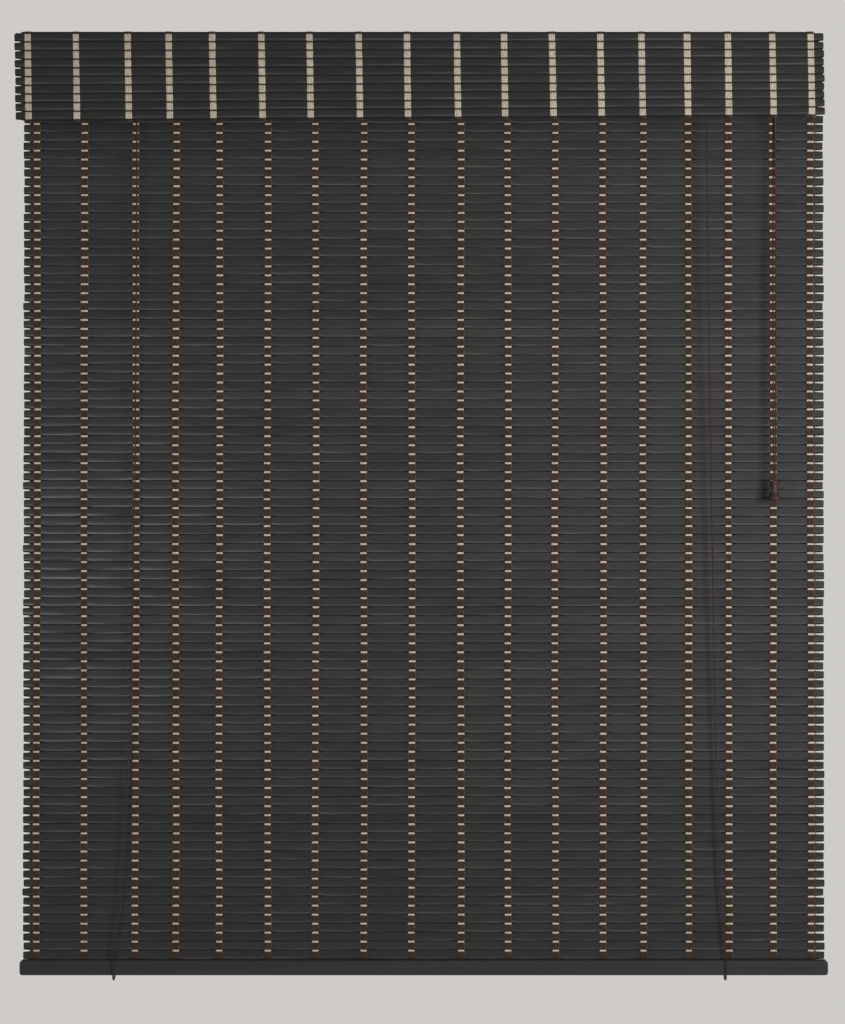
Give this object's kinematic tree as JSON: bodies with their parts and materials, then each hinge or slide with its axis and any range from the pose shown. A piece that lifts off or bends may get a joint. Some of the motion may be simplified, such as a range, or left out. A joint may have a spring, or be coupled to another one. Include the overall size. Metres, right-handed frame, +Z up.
{
  "type": "bamboo roll-up blind",
  "caption": "Roll-up window blind of flat black bamboo slats woven with brown and cream yarn, with a turned-over valance, two lift cords and a cord pull with a wooden bell.",
  "frame": {"origin": "middle of the two mounting screw holes, on the top face of the head rail", "axes": "+X to the right along the blind as seen from the room, +Y towards the wall, +Z up"},
  "size_m": [0.906, 0.0415, 1.0601],
  "materials": {
    "black_wood": "black stained bamboo and wood, matt",
    "brown_yarn": "dark brown yarn",
    "cream_yarn": "natural cream yarn",
    "cord": "dark red-brown cord",
    "bell_wood": "dark stained turned wood, satin",
    "steel": "plated steel",
    "brass": "dull brass"
  },
  "bodies": {
    "head": {"head_rail": "black_wood", "mat_slats": "black_wood", "wrap_slats": "black_wood", "valance_slats": "black_wood", "mat_brown_warps": "brown_yarn", "mat_cream_warps": "cream_yarn", "valance_brown_warps": "brown_yarn", "valance_cream_warps": "cream_yarn", "mat_tacks": "steel", "left_pulley_bracket": "steel", "left_pulley_axle": "steel", "right_pulley_bracket": "steel", "right_pulley_axle": "steel", "cord_lock_housing": "steel", "cord_lock_axle": "steel", "cord_lock_pawl_pin": "steel", "bracket_screws": "steel", "cord_anchor_screws": "steel", "left_cord_loop": "cord", "right_cord_loop": "cord", "left_cord_back": "cord", "left_cord_front": "cord", "left_cord_head": "cord", "left_pull_cord": "cord", "right_cord_back": "cord", "right_cord_front": "cord", "right_cord_head": "cord", "right_pull_cord": "cord"},
    "bottom_rail": {"bottom_batten_front": "black_wood", "bottom_batten_back": "black_wood", "hem_slat": "black_wood", "bottom_rail_nails": "steel", "left_cord_bight": "cord", "right_cord_bight": "cord"},
    "pull": {"pull_bell": "bell_wood", "pull_knot": "cord"},
    "left_sheave": {"left_pulley_sheave": "brass"},
    "right_sheave": {"right_pulley_sheave": "brass"},
    "lock_sheave": {"cord_lock_sheave": "brass"},
    "lock_pawl": {"cord_lock_pawl": "brass"}
  },
  "joints": [
    {"name": "lift", "type": "slide", "parent": "head", "child": "bottom_rail", "axis": [0, 0, 1], "range_m": [0, 0.93], "deforming": ["mat_slats", "mat_brown_warps", "mat_cream_warps", "left_cord_back", "left_cord_front", "right_cord_back", "right_cord_front"]},
    {"name": "pull", "type": "slide", "parent": "head", "child": "pull", "axis": [0, 0, -1], "range_m": [0, 1.86], "deforming": ["left_pull_cord", "right_pull_cord"]},
    {"name": "left_sheave_spin", "type": "hinge", "parent": "head", "child": "left_sheave", "pos_m": [-0.314, -0.005, -0.031], "axis": [0, 1, 0], "range_deg": [0, 17190]},
    {"name": "right_sheave_spin", "type": "hinge", "parent": "head", "child": "right_sheave", "pos_m": [0.322, -0.007, -0.031], "axis": [0, 1, 0], "range_deg": [0, 17190]},
    {"name": "lock_sheave_spin", "type": "hinge", "parent": "head", "child": "lock_sheave", "pos_m": [0.3845, -0.007, -0.031], "axis": [0, 1, 0], "range_deg": [0, 17190]},
    {"name": "lock_pawl_swing", "type": "hinge", "parent": "head", "child": "lock_pawl", "pos_m": [0.398, -0.007, -0.033], "axis": [0, 1, 0], "range_deg": [-30, 0]}
  ],
  "couplings": [
    {"joint": "pull", "follows": "lift", "ratio": 2},
    {"joint": "left_sheave_spin", "follows": "lift", "rad_per_m": 322.58},
    {"joint": "right_sheave_spin", "follows": "lift", "rad_per_m": 322.58},
    {"joint": "lock_sheave_spin", "follows": "lift", "rad_per_m": 322.58}
  ]
}
